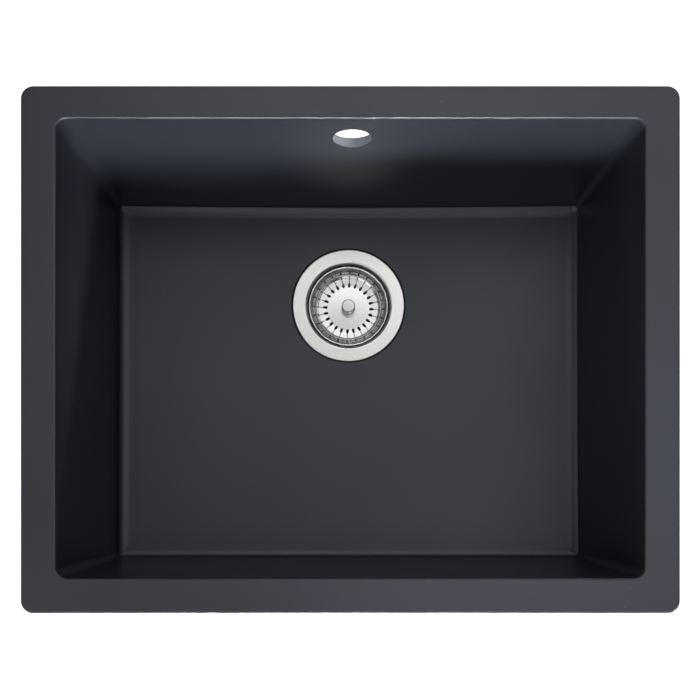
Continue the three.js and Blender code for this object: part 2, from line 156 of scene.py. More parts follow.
def composite_material():
    n = Nodes("composite")
    c = n.coords()
    grain = n.noise(c, 1500, 4.0, 0.65)                    # quartz grain, about 0.7 mm
    cloud = n.noise(c, 9, 3.0, 0.5)                        # slow variation of the moulding
    mottle = n.noise(c, 120, 3.0, 0.6)                     # patches of 5 to 10 mm
    dark = (0.0105, 0.0118, 0.0160)
    light = (0.0180, 0.0203, 0.0285)
    base = n.mix(n.ramp(grain, 0.36, 0.66), dark, light)
    base = n.mix(n.ramp(cloud, 0.35, 0.65, 0.0, 0.35), base, (0.0140, 0.0168, 0.0228))
    base = n.mix(n.ramp(mottle, 0.35, 0.7, 0.0, 0.25), base, (0.0165, 0.0172, 0.0250))
    # a few pale grains near the surface
    v = n.node("ShaderNodeTexVoronoi", feature="F1", inputs={"Vector": c, "Scale": 210.0, "Randomness": 1.0})
    pick = n.node("ShaderNodeSeparateColor", inputs={0: v.outputs["Color"]})
    near = n.ramp(v.outputs["Distance"], 0.05, 0.11, 1.0, 0.0)
    rare = n.ramp(pick.outputs[0], 0.972, 0.985)
    speck = n.maths("MULTIPLY", near, rare)
    base = n.mix(n.maths("MULTIPLY", speck, 0.5), base, (0.22, 0.22, 0.22))
    # painted light: the drilled bore of the overflow is painted far paler than the composite, standing in for the
    # light that falls into it
    s = n.node("ShaderNodeSeparateXYZ", inputs={0: n.coords((OVER_X * MM, OPEN_HALF_Y * MM, OVER_Z * MM))})
    x, y, z = s.outputs
    radius = n.maths("SQRT", n.maths("ADD", n.maths("MULTIPLY", x, x), n.maths("MULTIPLY", z, z)))
    depth = n.maths("SUBTRACT", y, n.maths("MULTIPLY", z, DRAFT + OPEN_SHIFT / 187))
    start = (shift(OVER_Z) - wall_inset(OVER_Z)) * MM
    bore = n.maths("MULTIPLY", n.ramp(radius, (OVER_R + 0.35) * MM, (OVER_R + 0.5) * MM, 1.0, 0.0), n.ramp(depth, start + 0.0001, start + 0.0004))
    painted_bore_light = n.mix(n.ramp(grain, 0.35, 0.7), (0.16, 0.17, 0.195), (0.24, 0.25, 0.285))
    base = n.mix(bore, base, painted_bore_light)
    rough = n.ramp(grain, 0.3, 0.7, 0.35, 0.43)
    rough = n.maths("ADD", rough, n.maths("MULTIPLY", bore, 0.25))
    rough = n.maths("ADD", rough, n.ramp(cloud, 0.3, 0.7, -0.02, 0.03))
    fine = n.bump(grain, 0.00012, 0.45)
    wave = n.bump(mottle, 0.00020, 0.25, fine)
    return n.shader(Base_Color=base, Roughness=rough, Normal=wave, Specular_IOR_Level=0.715, Specular_Tint=(0.885, 0.90, 1.0, 1.0))


def steel_material(name, colour=(0.80, 0.79, 0.775), roughness=0.16, spread=0.05, ring=0.0, centre=(0, DRAIN_Y * MM, 0), haze=0.04, painted_shade_band=None):
    """Stainless steel. ring is the depth of turned or spun marks, as rings about the centre's axis.
    The band argument is (inner radius, outer radius, tone) of a ring painted darker: painted shade, with a little more
    roughness."""
    n = Nodes(name)
    r, x, y, z = polar(n, centre)
    c = n.coords(centre)
    along = n.node("ShaderNodeCombineXYZ", inputs={0: n.maths("MULTIPLY", r, 26000.0), 1: n.maths("MULTIPLY", z, 9000.0), 2: 0.0}).outputs[0]
    spin = n.noise(along, 0.14, 5.0, 0.7)
    cloud = n.noise(c, 60, 3.0, 0.6)
    fine = n.noise(c, 2600, 2.0, 0.6)
    tone = n.mix(n.ramp(cloud, 0.3, 0.7, 0.0, haze), colour, tuple(v * 0.82 for v in colour))
    tone = n.mix(n.ramp(spin, 0.35, 0.7, 0.0, 0.05 if ring else 0.02), tone, tuple(v * 0.75 for v in colour))
    rough = n.maths("ADD", n.ramp(spin, 0.3, 0.7, roughness - spread / 2, roughness + spread / 2), n.ramp(fine, 0.3, 0.7, -0.004, 0.006))
    # painted shade: a ring of darker tone stands in for the shade down in a hollow or on a side turned from the light
    if painted_shade_band:
        shade_band_mask = n.maths("MULTIPLY", n.ramp(r, painted_shade_band[0] * MM, (painted_shade_band[0] + 1.0) * MM), n.ramp(r, (painted_shade_band[1] - 1.0) * MM, painted_shade_band[1] * MM, 1.0, 0.0))
        streak = n.noise(c, 170, 3.0, 0.6)
        tone = n.mix(n.maths("MULTIPLY", shade_band_mask, n.ramp(streak, 0.35, 0.65, 0.7, 1.0)), tone, tuple(v * painted_shade_band[2] for v in colour))
        rough = n.maths("ADD", rough, n.maths("MULTIPLY", shade_band_mask, 0.08))
    inputs = dict(Base_Color=tone, Roughness=rough, Metallic=1.0)
    if ring:
        inputs["Normal"] = n.bump(spin, ring, 0.5)
    return n.shader(**inputs)


def plated_material(name, colour, roughness, blotch):
    """Zinc plating or brass: a bright metal with a faint crystal bloom and small handling marks."""
    n = Nodes(name)
    c = n.coords()
    v = n.node("ShaderNodeTexVoronoi", feature="F1", inputs={"Vector": c, "Scale": 700.0, "Randomness": 1.0})
    pick = n.node("ShaderNodeSeparateColor", inputs={0: v.outputs["Color"]})
    cloud = n.noise(c, 140, 4.0, 0.6)
    tone = n.mix(n.ramp(pick.outputs[0], 0.0, 1.0, 0.0, blotch), colour, tuple(k * 0.72 for k in colour))
    tone = n.mix(n.ramp(cloud, 0.42, 0.68, 0.0, 0.35), tone, tuple(k * 0.8 for k in colour))
    rough = n.maths("ADD", n.ramp(cloud, 0.3, 0.7, roughness - 0.06, roughness + 0.08), n.ramp(pick.outputs[1], 0.0, 1.0, -0.03, 0.03))
    return n.shader(Base_Color=tone, Roughness=rough, Metallic=1.0, Normal=n.bump(n.noise(c, 1600, 3.0, 0.6), 0.00004, 0.4))


def moulded_material(name, colour, roughness, grain_scale, grain_depth, dust):
    """Moulded rubber, foam or plastic: a fine skin texture and a slow change of tone."""
    n = Nodes(name)
    c = n.coords()
    grain = n.noise(c, grain_scale, 3.0, 0.6)
    cloud = n.noise(c, 40, 3.0, 0.55)
    tone = n.mix(n.ramp(grain, 0.35, 0.68), tuple(k * 0.8 for k in colour), tuple(k * 1.25 for k in colour))
    tone = n.mix(n.ramp(cloud, 0.4, 0.7, 0.0, dust), tone, (0.09, 0.09, 0.088))
    rough = n.maths("ADD", n.ramp(grain, 0.3, 0.7, roughness - 0.05, roughness + 0.05), n.ramp(cloud, 0.3, 0.7, -0.03, 0.05))
    return n.shader(Base_Color=tone, Roughness=rough, Normal=n.bump(grain, grain_depth, 0.6))


def foam_material():
    n = Nodes("foam")
    c = n.coords()
    v = n.node("ShaderNodeTexVoronoi", feature="F1", inputs={"Vector": c, "Scale": 2600.0, "Randomness": 1.0})
    cells = v.outputs["Distance"]
    tone = n.mix(n.ramp(cells, 0.1, 0.7), (0.030, 0.030, 0.031), (0.075, 0.075, 0.076))
    return n.shader(Base_Color=tone, Roughness=n.ramp(cells, 0.0, 0.8, 0.80, 0.95), Normal=n.bump(cells, 0.00012, 0.8))


COMPOSITE = composite_material()
# The bands painted darker below are painted shade: inside the flange's cup, in the basket's channel round the rim, and
# down the knob's side.
FLANGE_STEEL = steel_material("flange_steel", (0.74, 0.73, 0.72), 0.27, 0.03, ring=0.0000006, painted_shade_band=(4.0, 42.7, 0.34))
BASKET_STEEL = steel_material("basket_steel", (0.84, 0.83, 0.82), 0.18, 0.02, painted_shade_band=(31.6, 38.6, 0.46))
KNOB_STEEL = steel_material("knob_steel", (0.64, 0.63, 0.625), 0.24, 0.03, ring=0.0000006, painted_shade_band=(5.3, 9.0, 0.64))
TURNED_STEEL = steel_material("turned_steel", (0.66, 0.655, 0.64), 0.24, 0.10, ring=0.00001)
ZINC = plated_material("zinc_plate", (0.44, 0.455, 0.475), 0.38, 0.25)
BRASS = plated_material("brass", (0.72, 0.52, 0.22), 0.28, 0.12)
RUBBER = moulded_material("rubber", (0.017, 0.017, 0.0175), 0.62, 1300, 0.00005, 0.10)
PLASTIC = moulded_material("moulded_plastic", (0.026, 0.027, 0.029), 0.42, 1700, 0.00006, 0.12)
FOAM = foam_material()


# ------------------------------------------------------------------ mesh helpers
def mesh_from(name, verts, faces):
    """A mesh from points in mm."""
    me = bpy.data.meshes.new(name)
    me.from_pydata((np.asarray(verts, float) * MM).tolist(), [], [list(map(int, f)) for f in faces])
    me.validate(verbose=False)
    me.update()
    return me


def holder(name, me):
    o = bpy.data.objects.new(name, me)
    scene.collection.objects.link(o)
    return o


def placed(points, at=(0, 0, 0), turn=0.0, axis="Z"):
    """Points turned about Z, or with their own Z laid along +Y, and moved."""
    p = np.asarray(points, float)
    if axis == "Y":
        p = np.stack([p[:, 0], p[:, 2], -p[:, 1]], 1)
    c, s = math.cos(turn), math.sin(turn)
    p = np.stack([c * p[:, 0] - s * p[:, 1], s * p[:, 0] + c * p[:, 1], p[:, 2]], 1)
    return p + np.asarray(at, float)


WASTE = (0.0, DRAIN_Y, FLANGE_Z)


def rounded(points, closed=True, steps=4, support=0.15):
    """A polyline of (x, y) or (x, y, radius) with its corners rounded."""
    out = []
    count = len(points)
    for i, p in enumerate(points):
        here = np.array(p[:2], float)
        r = p[2] if len(p) > 2 else 0.0
        if r <= 0 or (not closed and i in (0, count - 1)):
            out.append(here)
            continue
        before = np.array(points[(i - 1) % count][:2], float) - here
        after = np.array(points[(i + 1) % count][:2], float) - here
        lb, la = np.linalg.norm(before), np.linalg.norm(after)
        db, da = before / lb, after / la
        angle = math.acos(max(-1.0, min(1.0, float(db @ da))))
        if angle > math.radians(178):
            out.append(here)
            continue
        t = r / math.tan(angle / 2)
        limit = 0.47 * min(lb, la)
        if t > limit:
            t = limit
            r = t * math.tan(angle / 2)
        centre = here + (db + da) / np.linalg.norm(db + da) * (r / math.sin(angle / 2))
        start, end = here + db * t, here + da * t
        if lb > 2.2 * t + 2 * support and lb > 4 * support:
            out.append(start + db * support)
        a0 = math.atan2(*(start - centre)[::-1])
        a1 = math.atan2(*(end - centre)[::-1])
        d = (a1 - a0 + math.pi) % TAU - math.pi
        n = max(2, int(math.ceil(abs(d) / (math.pi / 2) * steps)))
        for k in range(n + 1):
            a = a0 + d * k / n
            out.append(centre + r * np.array([math.cos(a), math.sin(a)]))
        if la > 2.2 * t + 2 * support and la > 4 * support:
            out.append(end + da * support)
    return out


def lathe(profile, segments=96, shape=None):
    """Points and faces of an (r, z) profile turned about Z. A profile that starts and ends on the axis is
    open there; any other is a closed ring. shape(r, angle, z) may change the radius."""
    pts = [tuple(map(float, p[:2])) for p in profile]
    area = sum(a[0] * b[1] - b[0] * a[1] for a, b in zip(pts, pts[1:] + pts[:1]))
    if area < 0:
        pts = pts[::-1]
    ring = not (pts[0][0] < 1e-6 and pts[-1][0] < 1e-6)
    verts, rows = [], []
    for r, z in pts:
        if r < 1e-6:
            rows.append([len(verts)] * segments)
            verts.append((0, 0, z))
            continue
        rows.append(list(range(len(verts), len(verts) + segments)))
        for i in range(segments):
            a = TAU * i / segments
            q = shape(r, a, z) if shape else r
            verts.append((q * math.cos(a), q * math.sin(a), z))
    faces = []
    pairs = list(zip(rows, rows[1:] + (rows[:1] if ring else [])))
    if not ring:
        pairs = list(zip(rows[:-1], rows[1:]))
    for a, b in pairs:
        for i in range(segments):
            j = (i + 1) % segments
            f = []
            for v in (a[i], a[j], b[j], b[i]):
                if v not in f:
                    f.append(v)
            if len(f) > 2:
                faces.append(f)
    return verts, faces


def prism(outline, z0, z1):
    """A straight bar of a closed (x, y) outline given counter-clockwise."""
    n = len(outline)
    verts = [(x, y, z0) for x, y in outline] + [(x, y, z1) for x, y in outline]
    faces = [list(range(n))[::-1], [n + i for i in range(n)]]
    faces += [[i, (i + 1) % n, n + (i + 1) % n, n + i] for i in range(n)]
    return verts, faces


def circle(r, n, turn=0.0, at=(0, 0)):
    return [(at[0] + r * math.cos(turn + TAU * i / n), at[1] + r * math.sin(turn + TAU * i / n)) for i in range(n)]


def several(*parts):
    verts, faces = [], []
    for v, f in parts:
        base = len(verts)
        verts += [tuple(p) for p in v]
        faces += [[base + i for i in q] for q in f]
    return verts, faces


def cut(o, operation, verts, faces):
    """An exact boolean with a tool given in mm; o's mesh is replaced by the result."""
    tool = holder("tool", mesh_from("tool", verts, faces))
    m = o.modifiers.new("cut", "BOOLEAN")
    m.operation, m.solver, m.object = operation, "EXACT", tool
    if operation == "UNION":
        m.use_self = False
    dg = bpy.context.evaluated_depsgraph_get()
    dg.update()
    new = bpy.data.meshes.new_from_object(o.evaluated_get(dg))
    o.modifiers.remove(m)
    old = o.data
    o.data = new
    bpy.data.meshes.remove(old)
    tool_mesh = tool.data
    bpy.data.objects.remove(tool)
    bpy.data.meshes.remove(tool_mesh)
    return o


def finish_piece(o, body, nodes, slot, material, sharp=38, bevel=None, weighted=False):
    """Material, smooth shading with crisp edges, and the piece's place in the frame."""
    me = o.data
    me.materials.clear()
    me.materials.append(material)
    me.polygons.foreach_set("material_index", [0] * len(me.polygons))
    me.polygons.foreach_set("use_smooth", [True] * len(me.polygons))
    me.set_sharp_from_angle(angle=math.radians(sharp))
    me.update()
    if bevel:
        b = o.modifiers.new("edges", "BEVEL")
        b.width, b.segments, b.limit_method, b.angle_limit = bevel * MM, 3, "ANGLE", math.radians(35)
        b.harden_normals = False
        b.use_clamp_overlap = True
        weighted = True
    if weighted:
        w = o.modifiers.new("flat", "WEIGHTED_NORMAL")
        w.keep_sharp, w.weight = True, 80
    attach(o, body)
    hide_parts(*nodes)
    return o


def piece(name, verts, faces, body, nodes, slot, material, **kw):
    return finish_piece(holder(name, mesh_from(name, verts, faces)), body, nodes, slot, material, **kw)


# ------------------------------------------------------------------ the bowl
CORNER_STEPS, LONG_STEPS, SHORT_STEPS = 14, 84, 64
PLAN = []
for k, steps in enumerate((SHORT_STEPS, LONG_STEPS, SHORT_STEPS, LONG_STEPS)):
    PLAN += [("side", k, i / steps) for i in range(steps)]
    PLAN += [("corner", k, i / CORNER_STEPS) for i in range(CORNER_STEPS)]


def rect_point(p, hx, hy, r):
    kind, k, t = p
    cx, cy = hx - r, hy - r
    if kind == "side":
        u = -1 + 2 * t
        return [(hx, u * cy), (-u * cx, hy), (-hx, -u * cy), (u * cx, -hy)][k]
    a = (k + t) * math.pi / 2
    return (1, -1, -1, 1)[k] * cx + r * math.cos(a), (1, 1, -1, -1)[k] * cy + r * math.sin(a)


def cove_radius(p):
    """The cove is tighter along the front wall."""
    kind, k, t = p
    share = {0: 0.0, 1: 0.0, 2: 0.0, 3: 1.0}[k] if kind == "side" else {0: 0.0, 1: 0.0, 2: t, 3: 1 - t}[k]
    return COVE_R + (COVE_FRONT_R - COVE_R) * share


def corner_r(z):
    t = min(1.0, abs(z) / 187)
    return OPEN_R + (FLOOR_R - OPEN_R) * t


def bowl_mesh():
    rings = []
    tan5 = math.atan(DRAFT)
    foot_inset = wall_inset(-187)
    feet = [floor_z(*rect_point(p, OPEN_HALF_X - foot_inset, OPEN_HALF_Y - foot_inset, FLOOR_R)) for p in PLAN]
    angles = []
    for p in PLAN:
        x, y = rect_point(p, OPEN_HALF_X - foot_inset - 8, OPEN_HALF_Y - foot_inset - 8, 0.9)
        angles.append(math.atan2(y - DRAIN_Y, x))

    def hoop(r, z):
        return [(r * math.cos(a), DRAIN_Y + r * math.sin(a), z) for a in angles]

    # the waste hole and the recess for the flange
    lip = floor_z(RECESS_R, DRAIN_Y)
    for r, z in rounded([
        (DRAIN_HOLE_R, BOSS_Z, 0.8), (DRAIN_HOLE_R, RECESS_Z, 0.6), (RECESS_R, RECESS_Z, 1.0), (RECESS_R, lip, 0.45), (RECESS_R + 6, lip + 0.18),
    ], closed=False, steps=4, support=0.2)[1:]:
        rings.append(hoop(r, z if r <= RECESS_R + 1.2 else floor_z(r, DRAIN_Y)))
    # the floor
    def cove(p, zf, deg):
        """Point of the cove: deg is the slope of its normal, 90 where it runs into the floor."""
        rad, f, f0 = cove_radius(p), math.radians(deg), math.radians(COVE_FROM)
        reach = rad * math.cos(f0) - DRAFT * rad * (1 - math.sin(f0))
        u, up = reach - rad * math.cos(f), rad * (1 - math.sin(f))
        inset = wall_inset(zf) + u
        x, y = rect_point(p, OPEN_HALF_X - inset, OPEN_HALF_Y - inset, max(FLOOR_R - max(u, 0), 0.9))
        y += shift(zf + up)
        return (x, y, floor_z(x, y) if deg == 90 else zf + up)

    edge = [cove(p, zf, 90) for p, zf in zip(PLAN, feet)]
    first = hoop(RECESS_R + 6, 0)
    for t in (0.25, 0.5, 0.75, 0.97):
        ring = []
        for (x0, y0, _), (x1, y1, _) in zip(first, edge):
            x, y = x0 + (x1 - x0) * t, y0 + (y1 - y0) * t
            ring.append((x, y, floor_z(x, y)))
        rings.append(ring)
    # the cove up to the wall
    for deg in (90, 86, 81, 76, 71, 66, 61, 56, 51, 47, COVE_FROM):
        rings.append([cove(p, zf, deg) for p, zf in zip(PLAN, feet)])
    for i in range(18):
        t = (0.002, 0.012, 0.04, 0.08, *[0.08 + 0.87 * k / 13 for k in range(1, 14)], 0.985)[i]
        ring = []
        for p, zf in zip(PLAN, feet):
            z0 = cove(p, zf, COVE_FROM)[2]
            z = z0 + (-EDGE_R - z0) * t
            x, y = rect_point(p, OPEN_HALF_X - wall_inset(z), OPEN_HALF_Y - wall_inset(z), corner_r(z))
            ring.append((x, y + shift(z), z))
        rings.append(ring)

    def flat(hx, hy, r, z):
        rings.append([(*rect_point(p, hx, hy, r), z) for p in PLAN])

    def slid(hx, hy, r, z):
        rings.append([(x, y + OPEN_SHIFT, z) for x, y in (rect_point(p, hx, hy, r) for p in PLAN)])

    for deg in (0, 15, 30, 45, 60, 75, 90):  # the round where the wall meets the rim
        a = math.radians(deg)
        u = EDGE_R * (1 - math.cos(a))
        slid(OPEN_HALF_X + u, OPEN_HALF_Y + u, OPEN_R + u, -EDGE_R + EDGE_R * math.sin(a))
    for u in (2.3, 9.0, 18.0):
        slid(OPEN_HALF_X + u, OPEN_HALF_Y + u, OPEN_R + u * 0.2, 0)
    e = RIM_EDGE_R
    for u in (0.3,):
        flat(RIM_HALF_X - e - u, RIM_HALF_Y - e - u, RIM_R - e - u, 0)
    for deg in (90, 72, 54, 36, 18, 0):
        a = math.radians(deg)
        flat(RIM_HALF_X - e + e * math.cos(a), RIM_HALF_Y - e + e * math.cos(a), RIM_R - e + e * math.cos(a), -e + e * math.sin(a))
    flat(RIM_HALF_X, RIM_HALF_Y, RIM_R, -e - 0.3)
    flat(RIM_HALF_X, RIM_HALF_Y, RIM_R, -RIM_THICK + e + 0.3)
    for deg in (0, 18, 36, 54, 72, 90):
        a = math.radians(deg)
        flat(RIM_HALF_X - e + e * math.cos(a), RIM_HALF_Y - e + e * math.cos(a), RIM_R - e + e * math.cos(a), -RIM_THICK + e - e * math.sin(a))
    flat(RIM_HALF_X - e - 0.3, RIM_HALF_Y - e - 0.3, RIM_R - e - 0.3, -RIM_THICK)

    def outer(z, extra=0.0):
        i = wall_inset(z)
        return OPEN_HALF_X - i + WALL + extra, OPEN_HALF_Y - i + WALL + extra, corner_r(z) + WALL + extra

    hx, hy, r = outer(-RIM_THICK - UNDER_R, UNDER_R + 0.3)
    flat(hx, hy, r, -RIM_THICK)
    for deg in (90, 72, 54, 36, 18, 0):
        a = math.radians(deg)
        hx, hy, r = outer(-RIM_THICK - UNDER_R, UNDER_R * (1 - math.cos(a)))
        flat(hx, hy, r, -RIM_THICK - UNDER_R + UNDER_R * math.sin(a))
    bottom_r = 14.0
    for t in (0.02, *[0.02 + 0.96 * k / 11 for k in range(1, 12)], 1.0):
        ring = []
        for p, zf in zip(PLAN, feet):
            z = -RIM_THICK - UNDER_R + (zf - FLOOR_THICK + bottom_r + RIM_THICK + UNDER_R) * t
            ring.append((*rect_point(p, *outer(z)), z))
        rings.append(ring)
    for deg in (9, 18, 27, 36, 45, 54, 63, 72, 81, 90):
        a = math.radians(deg)
        ring = []
        for p, zf in zip(PLAN, feet):
            z1 = zf - FLOOR_THICK + bottom_r
            hx, hy, r = outer(z1)
            u = bottom_r * (1 - math.cos(a))
            x, y = rect_point(p, hx - u, hy - u, max(r - u * 0.9, 1.5))
            ring.append((x, y, z1 - bottom_r * math.sin(a)))
        rings.append(ring)
    # the underside runs in to the pad round the waste hole
    last = rings[-1]
    pad = BOSS_R + 1.9
    under = floor_z(pad, DRAIN_Y) - FLOOR_THICK
    inner = hoop(pad + 6, 0)
    for t in (0.03, 0.25, 0.5, 0.75, 1.0):
        ring = []
        for (x0, y0, z0), (x1, y1, _) in zip(last, inner):
            x, y = x0 + (x1 - x0) * t, y0 + (y1 - y0) * t
            ring.append((x, y, z0 + (floor_z(pad + 6, DRAIN_Y) - FLOOR_THICK - z0) * t))
        rings.append(ring)
    for r, z in rounded([
        (pad + 6, under + 0.18), (pad, under, 1.2), (BOSS_R, BOSS_Z + 1, 0.5), (BOSS_R - 1, BOSS_Z, 1.2), (DRAIN_HOLE_R, BOSS_Z, 0.8), (DRAIN_HOLE_R, RECESS_Z),
    ], closed=False, steps=4, support=0.2)[1:-1]:
        rings.append(hoop(r, z))
    n = len(PLAN)
    verts = [v for ring in rings for v in ring]
    faces = []
    for k in range(len(rings)):
        a, b = k * n, ((k + 1) % len(rings)) * n
        for i in range(n):
            j = (i + 1) % n
            faces.append((a + i, b + i, b + j, a + j))
    return verts, faces


def wall_tool():
    """The overflow hole's tool: it flares where it meets the wall inside and the spot face outside,
    and is leant over by the wall's draft."""
    inner_y = OPEN_HALF_Y - wall_inset(OVER_Z) + shift(OVER_Z)
    flare, back = 0.45, 0.3
    rad = OVER_R - 0.3
    prof = [(0.0, -6.0), (rad + flare + 1.6, -6.0), (rad + flare + 0.9, -0.16)]
    for k in range(1, 8):
        a = math.radians(80 * (1 - k / 7))
        prof.append((rad + flare - flare * math.cos(a), flare - flare * math.sin(a)))
    depth = OVER_SEAT_Y - inner_y
    prof.append((OVER_R - 0.5, depth - 3.2))
    for k in range(0, 6):
        a = math.radians(80 * k / 5)
        prof.append((OVER_R - 0.5 + back - back * math.cos(a), depth - back + back * math.sin(a)))
    prof += [(OVER_R + back + 0.1, depth + 0.4), (OVER_R + back + 0.1, depth + 9.0), (0.0, depth + 9.0)]
    verts, faces = lathe(prof, 120)
    out = []
    for x, y, z in placed(verts, axis="Y"):
        share = min(1.0, max(0.0, (y - 2.0) / 2.0))
        out.append((OVER_X + x, inner_y + y + (DRAFT + OPEN_SHIFT / 187) * z * (1 - share), OVER_Z + z))
    # placed() lays +Z along +Y with a turn, so the faces keep their side
    return out, faces


def seat_pad():
    prof = rounded([(0, -4), (OVER_SEAT_R, -4), (OVER_SEAT_R, 0, 0.7), (0, 0)], closed=False, steps=4)
    verts, faces = lathe(prof, 120)
    return [(OVER_X + x, OVER_SEAT_Y + y, OVER_Z + z) for x, y, z in placed(verts, axis="Y")], faces


def seat_tool():
    prof = rounded([(0, 0), (OVER_SEAT_R + 0.6, 0, 0.3), (OVER_SEAT_R + 0.6, 18), (0, 18)], closed=False, steps=4)
    verts, faces = lathe(prof, 120)
    return [(OVER_X + x, OVER_SEAT_Y + y, OVER_Z + z) for x, y, z in placed(verts, axis="Y")], faces


bowl = holder("bowl_shell", mesh_from("bowl_shell", *bowl_mesh()))
cut(bowl, "UNION", *seat_pad())
cut(bowl, "DIFFERENCE", *seat_tool())
cut(bowl, "DIFFERENCE", *wall_tool())
holes = several(*[
    (placed(v, at=(x, y, 0)), f)
    for x, y, _ in CLIPS.values()
    for v, f in [lathe([(0, -2.8), (0, -14), (4.6, -14), (4.6, -10.3), (4.3, -9.7), (4.3, -2.8)], 40)]
])
cut(bowl, "DIFFERENCE", *holes)
finish_piece(bowl, "sink", ["sink_bowl"], "composite", COMPOSITE, sharp=32, weighted=True)


# ------------------------------------------------------------------ strainer dish
def dish_mesh():
    prof = rounded([
        (43.1, 0.0, 2.2), (55.9, 0.0, 1.0), (57.0, -1.1, 0.25), (56.7, -1.5, 0.2), (55.3, -1.2, 0.6),
        (44.4, -1.2, 1.0), (43.1, -2.8, 0.6), (42.1, -30.4, 1.5), (39.0, -34.6, 3.0),
        (28.2, -37.2, 2.5), (22.4, -45.2, 2.0),
        (6.6, -45.2, 0.2), (6.6, -44.0, 0.2),
        (21.6, -44.0, 1.2), (27.1, -36.2, 1.8), (38.2, -33.4, 2.2), (40.8, -29.8, 1.2), (41.6, -2.2, 1.4),
    ], steps=6, support=0.12)
    return lathe(prof, 192)


def in_waste(mesh, **kw):
    return placed(mesh[0], at=WASTE, **kw), mesh[1]


dish = holder("strainer_dish_shell", mesh_from("strainer_dish_shell", *in_waste(dish_mesh())))
cut(dish, "DIFFERENCE", *in_waste(several(*[
    prism(circle(4.6, 40, at=(14.4 * math.cos((i + 0.5) * math.pi / 3), 14.4 * math.sin((i + 0.5) * math.pi / 3))), -50, -40)
    for i in range(6)
])))
finish_piece(dish, "sink", ["strainer_dish"], "polished_steel", FLANGE_STEEL, sharp=38, weighted=True)

v, f = lathe(rounded([(46, -2.7, 0.35), (56.2, -2.7, 0.35), (56.2, -1.8, 0.35), (46, -1.8, 0.35)], steps=4, support=0.1), 128)
piece("flange_seal_ring", placed(v, at=WASTE), f, "sink", ["flange_seal"], "foam", FOAM)
v, f = lathe(rounded([(47.5, -14.7, 0.6), (60, -14.7, 1.2), (60, -12, 1.2), (47.5, -12, 0.6)], steps=5, support=0.12), 128)
piece("body_gasket_ring", placed(v, at=WASTE), f, "sink", ["body_gasket"], "rubber", RUBBER)


# ------------------------------------------------------------------ waste body
def thread(pitch, depth, z0, z1, fade):
    """Depth of a 55 degree style thread at angle a and height z: 0 on the crest, depth at the root."""
    def shape(r, a, z):
        if not z0 <= z <= z1:
            return r
        k = min(1.0, (z - z0) / fade, (z1 - z) / fade)
        u = (z / pitch + a / TAU) % 1.0
        wave = abs(2 * u - 1)  # 1 at the crest
        wave = min(1.0, max(0.0, (wave - 0.13) / 0.74))
        return r - depth * (1 - wave * wave * (3 - 2 * wave)) * max(0.0, k)
    return shape


outlet_z0, outlet_z1 = -103.6, -73.2
threaded = [(23.9, outlet_z1 - (outlet_z1 - outlet_z0) * k / 150) for k in range(151)]
body_profile = (
    rounded([(20, -70.2), (20, -105, 0.5), (23.2, -105, 0.5), (23.9, -104.2, 0.3), (23.9, -103.65)], closed=False, steps=3, support=0.1)[1:]
    + threaded[::-1]
    + rounded([
        (23.9, -73.1), (23.9, -71.8, 0.8), (28.6, -67.5, 4.0), (45.4, -55, 4.0), (47.2, -49.5, 3.0), (47.6, -20, 1.5), (61, -20, 0.9),
        (61, -15, 0.9), (44.4, -15, 0.5), (43.6, -49, 3.0), (41.8, -53.4, 3.0), (24.6, -65.6, 3.0), (20, -70.2, 2.0), (20, -72),
    ], closed=False, steps=5, support=0.15)
)
shape = thread(2.309, 1.35, outlet_z0, outlet_z1, 2.4)
waste = holder("waste_body_shell", mesh_from("waste_body_shell", *in_waste(lathe(body_profile, 144, shape))))
cut(waste, "UNION", *in_waste(lathe(rounded([(0, -68), (10.5, -68, 0.8), (10.5, -54.2, 0.6), (0, -54.2)], closed=False), 72)))
for turn in (math.pi / 4, 3 * math.pi / 4):
    cut(waste, "UNION", *in_waste(prism([(-31, -1.7), (31, -1.7), (31, 1.7), (-31, 1.7)], -64, -56), turn=turn))


def along_y(mesh, at):
    return placed(mesh[0], at=at, axis="Y"), mesh[1]


SPIGOT = (0.0, DRAIN_Y, FLANGE_Z + SPIGOT_Z)
spigot_profile = (
    rounded([(0, 45.6), (15.5, 45.6), (15.5, 52, 0.8), (12.6, 52, 0.8), (12.6, 53.1)], closed=False, steps=4, support=0.1)
    + [(12.6, 53.2 + 13.6 * k / 90) for k in range(91)]
    + rounded([(12.6, 66.9), (12.6, 68, 0.5), (0, 68)], closed=False, steps=3, support=0.1)[1:]
)
shape = thread(1.814, 0.95, 53.4, 66.6, 1.8)
cut(waste, "UNION", *along_y(lathe(spigot_profile, 96, shape), SPIGOT))
cut(waste, "DIFFERENCE", *along_y(lathe([(0, 30), (9.6, 30), (9.6, 75), (0, 75)], 48), SPIGOT))
cut(waste, "DIFFERENCE", *in_waste(prism(circle(7.6, 6, math.pi / 6), -65.6, -50)))
cut(waste, "DIFFERENCE", *in_waste(prism(circle(4.4, 40), -80, -50)))
finish_piece(waste, "sink", ["waste_body"], "moulded_plastic", PLASTIC, sharp=40, weighted=True)

# grip ribs round the blanking cap's skirt
CAP_RIBS = 24


def cap_shape(r, a, z):
    if r < 13.5 or not 58.2 <= z <= 71.4:
        return r
    k = min(1.0, (z - 58.2) / 0.8, (71.4 - z) / 0.8)
    u = 0.5 + 0.5 * math.cos(a * CAP_RIBS)
    return r - 0.55 * k * (1 - u ** 0.6)


